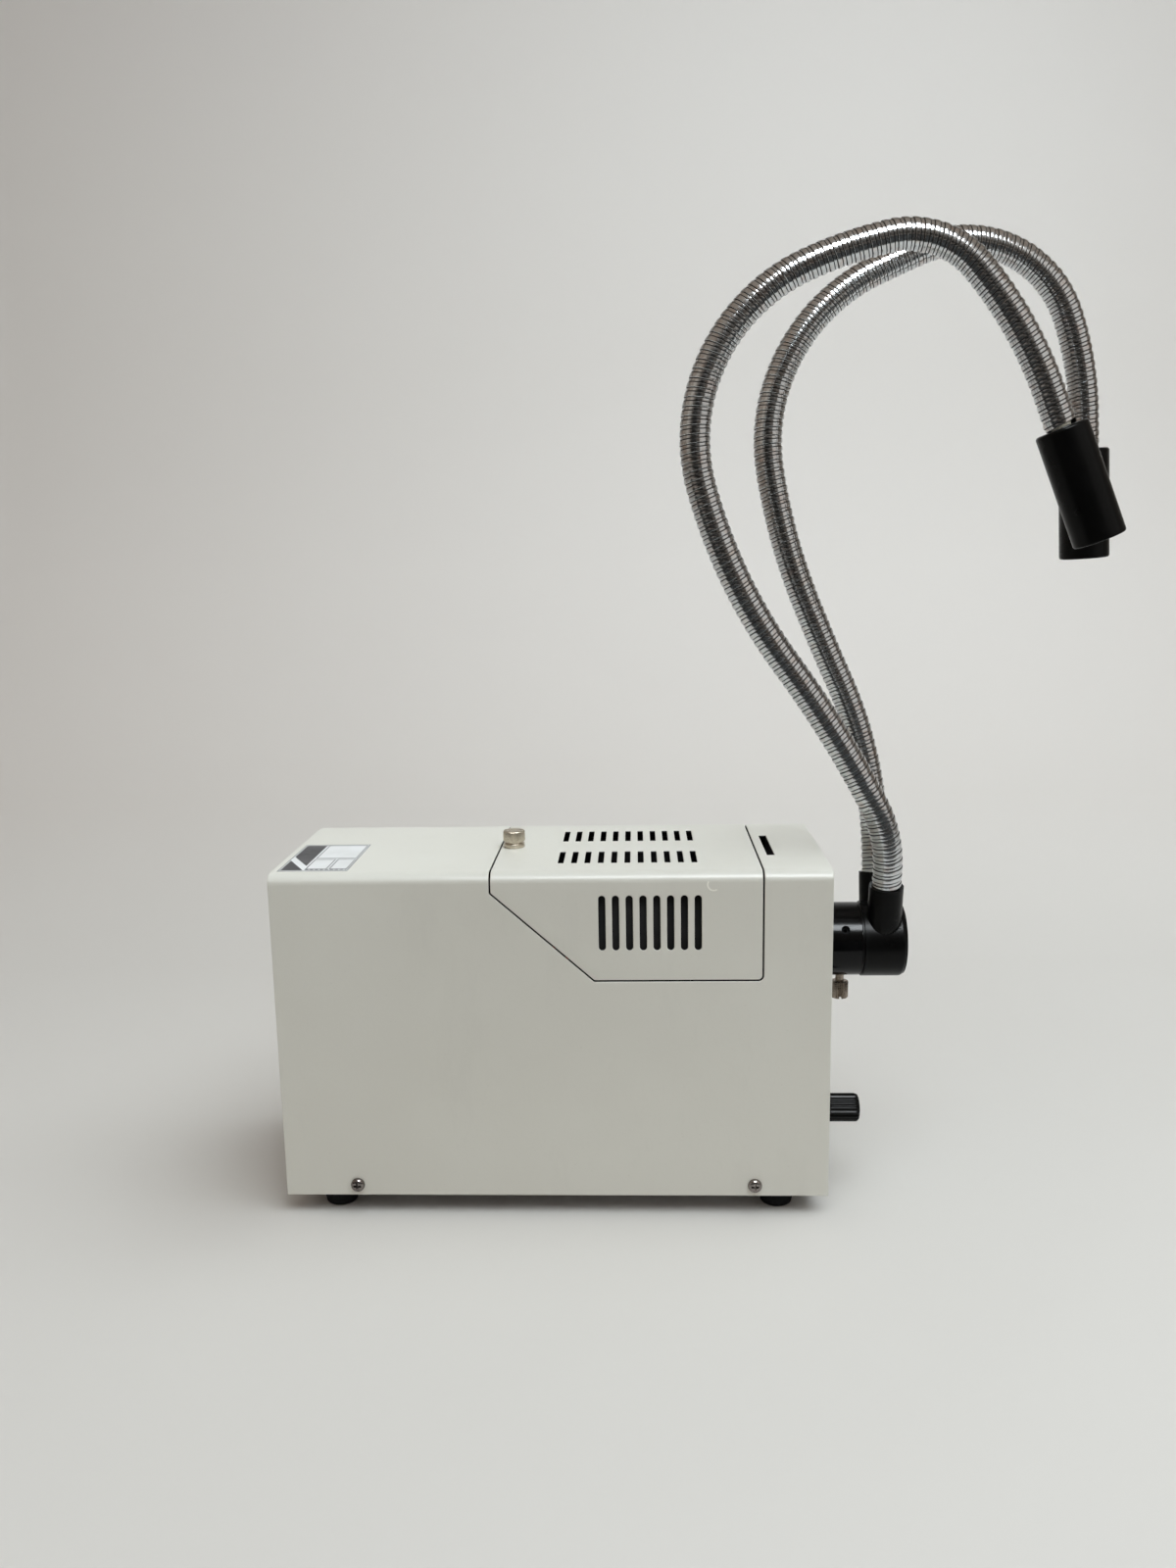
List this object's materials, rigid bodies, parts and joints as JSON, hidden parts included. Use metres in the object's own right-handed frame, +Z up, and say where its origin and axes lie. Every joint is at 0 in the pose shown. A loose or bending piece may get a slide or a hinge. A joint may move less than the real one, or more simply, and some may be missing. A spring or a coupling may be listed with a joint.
{
  "type": "fiber optic illuminator",
  "caption": "Bench lamp house with a lift-off vented cover and a light guide that splits into flexible gooseneck arms ending in focusing lens tubes.",
  "frame": {"origin": "on the table plane, under the middle of the case", "axes": "+X from the rear to the front, where the light guide comes out; +Y from the near side with the knob to the far side with the switch; +Z up"},
  "size_m": [0.3811, 0.103, 0.434],
  "materials": {
    "case_paint": "ivory powder coat, satin",
    "panel_paint": "ivory powder coat, satin",
    "zinc": "zinc plated",
    "nickel": "nickel plated, knurled",
    "rubber": "matte",
    "label": "blank film",
    "black_anodised": "black anodised, semi-gloss",
    "black_satin": "black anodised, satin",
    "black_plastic": "moulded, satin",
    "steel": "bright",
    "hose_chrome": "chromed stripwound hose",
    "fibre": "bundled fibres",
    "iron": "varnished laminations",
    "copper": "varnished winding",
    "board": "circuit board",
    "alu": "extruded",
    "lamp_glass": "dichroic reflector",
    "quartz": "quartz capsule",
    "ceramic": "steatite",
    "heat_glass": "heat absorbing glass",
    "wire_red": "sleeved lead",
    "wire_blue": "sleeved lead",
    "lens_glass": "clear, polished"
  },
  "bodies": {
    "base": {"case_shell": "case_paint", "cover_bracket": "zinc", "chassis_tray": "zinc", "front_panel": "panel_paint", "rear_panel": "panel_paint", "feet": "rubber", "foot_screws": "zinc", "side_screws": "nickel", "rating_label": "label", "guide_socket": "black_anodised", "socket_nut": "zinc", "socket_set_screw": "black_satin", "dimmer_pot": "zinc", "switch_body": "black_plastic", "mains_inlet": "black_plastic", "fan_frame": "black_plastic", "fan_screws": "zinc", "transformer_core": "iron", "transformer_coil": "copper", "transformer_bolts": "zinc", "dimmer_board": "board", "heat_sink": "alu", "lamp_shelf": "zinc", "lamp_bracket": "zinc", "lamp_reflector": "lamp_glass", "lamp_capsule": "quartz", "lamp_holder": "ceramic", "heat_filter": "heat_glass", "filter_frame": "zinc", "lamp_leads": "wire_red", "mains_leads": "wire_blue"},
    "cover": {"lamp_cover": "case_paint"},
    "cover_screw": {"cover_screw": "nickel"},
    "clamp_screw": {"guide_clamp_screw": "nickel"},
    "brightness_knob": {"knob": "black_plastic", "pot_shaft": "steel"},
    "rocker": {"switch_rocker": "black_plastic"},
    "drawer": {"fuse_drawer": "black_plastic", "fuse": "quartz"},
    "fan": {"fan_rotor": "black_plastic"},
    "guide": {"guide_ferrule": "steel"},
    "guide_head": {"fibre_trunk": "fibre", "y_head": "black_satin", "near_base_flex": "hose_chrome", "far_base_flex": "hose_chrome"},
    "near_lower_arm": {"near_lower_hose": "hose_chrome", "near_arch_flex": "hose_chrome"},
    "near_upper_arm": {"near_upper_hose": "hose_chrome", "near_tip_flex": "hose_chrome"},
    "near_tip": {"near_end_sleeve": "steel"},
    "near_lens": {"near_lens_tube": "black_satin", "near_lens": "lens_glass"},
    "far_lower_arm": {"far_lower_hose": "hose_chrome", "far_arch_flex": "hose_chrome"},
    "far_upper_arm": {"far_upper_hose": "hose_chrome", "far_tip_flex": "hose_chrome"},
    "far_tip": {"far_end_sleeve": "steel"},
    "far_lens": {"far_lens_tube": "black_satin", "far_lens": "lens_glass"}
  },
  "joints": [
    {"name": "cover_lift", "type": "slide", "parent": "base", "child": "cover", "axis": [0, 0, 1], "range_m": [0, 0.06]},
    {"name": "cover_screw_turn", "type": "hinge", "parent": "cover", "child": "cover_screw", "pos_m": [-0.0191, 0, 0.1589], "axis": [0, 0, 1], "range_deg": [0, 1080]},
    {"name": "guide_clamp_turn", "type": "hinge", "parent": "base", "child": "clamp_screw", "pos_m": [0.1338, 0, 0.1133], "axis": [0, 0, 1], "range_deg": [0, 720]},
    {"name": "knob_turn", "type": "hinge", "parent": "base", "child": "brightness_knob", "pos_m": [0.1195, -0.02, 0.0375], "axis": [1, 0, 0], "range_deg": [0, 270]},
    {"name": "switch_rock", "type": "hinge", "parent": "base", "child": "rocker", "pos_m": [0.1201, 0.02, 0.0375], "axis": [0, 1, 0], "range_deg": [0, 22]},
    {"name": "fuse_drawer_pull", "type": "slide", "parent": "base", "child": "drawer", "axis": [-1, 0, 0], "range_m": [0, 0.028]},
    {"name": "fan_spin", "type": "hinge", "parent": "base", "child": "fan", "pos_m": [-0.1195, 0, 0.1035], "axis": [1, 0, 0], "continuous": true},
    {"name": "guide_pull", "type": "slide", "parent": "base", "child": "guide", "axis": [1, 0, 0], "range_m": [0, 0.045]},
    {"name": "guide_swivel", "type": "hinge", "parent": "guide", "child": "guide_head", "pos_m": [0.1417, 0, 0.1133], "axis": [1, 0, 0], "range_deg": [-90, 90]},
    {"name": "near_arm_sway", "type": "hinge", "parent": "guide_head", "child": "near_lower_arm", "pos_m": [0.15051, -0.01673, 0.16419], "axis": [1, 0, 0], "range_deg": [-2, 30], "deforming": ["near_base_flex"]},
    {"name": "near_arm_bend", "type": "hinge", "parent": "near_lower_arm", "child": "near_upper_arm", "pos_m": [0.07802, -0.02325, 0.3825], "axis": [0, 1, 0], "range_deg": [-30, 20], "deforming": ["near_arch_flex"]},
    {"name": "near_tip_bend", "type": "hinge", "parent": "near_upper_arm", "child": "near_tip", "pos_m": [0.20547, -0.02668, 0.36645], "axis": [0, 1, 0], "range_deg": [-40, 40], "deforming": ["near_tip_flex"]},
    {"name": "near_lens_focus", "type": "slide", "parent": "near_tip", "child": "near_lens", "axis": [0.3648, -0.0209, -0.9309], "range_m": [0, 0.008]},
    {"name": "far_arm_sway", "type": "hinge", "parent": "guide_head", "child": "far_lower_arm", "pos_m": [0.15151, 0.01673, 0.16429], "axis": [-1, 0, 0], "range_deg": [-2, 30], "deforming": ["far_base_flex"]},
    {"name": "far_arm_bend", "type": "hinge", "parent": "far_lower_arm", "child": "far_upper_arm", "pos_m": [0.1191, 0.02325, 0.39434], "axis": [0, 1, 0], "range_deg": [-30, 20], "deforming": ["far_arch_flex"]},
    {"name": "far_tip_bend", "type": "hinge", "parent": "far_upper_arm", "child": "far_tip", "pos_m": [0.24108, 0.02668, 0.3697], "axis": [0, 1, 0], "range_deg": [-40, 40], "deforming": ["far_tip_flex"]},
    {"name": "far_lens_focus", "type": "slide", "parent": "far_tip", "child": "far_lens", "axis": [0.0645, 0.0209, -0.9977], "range_m": [0, 0.008]}
  ]
}
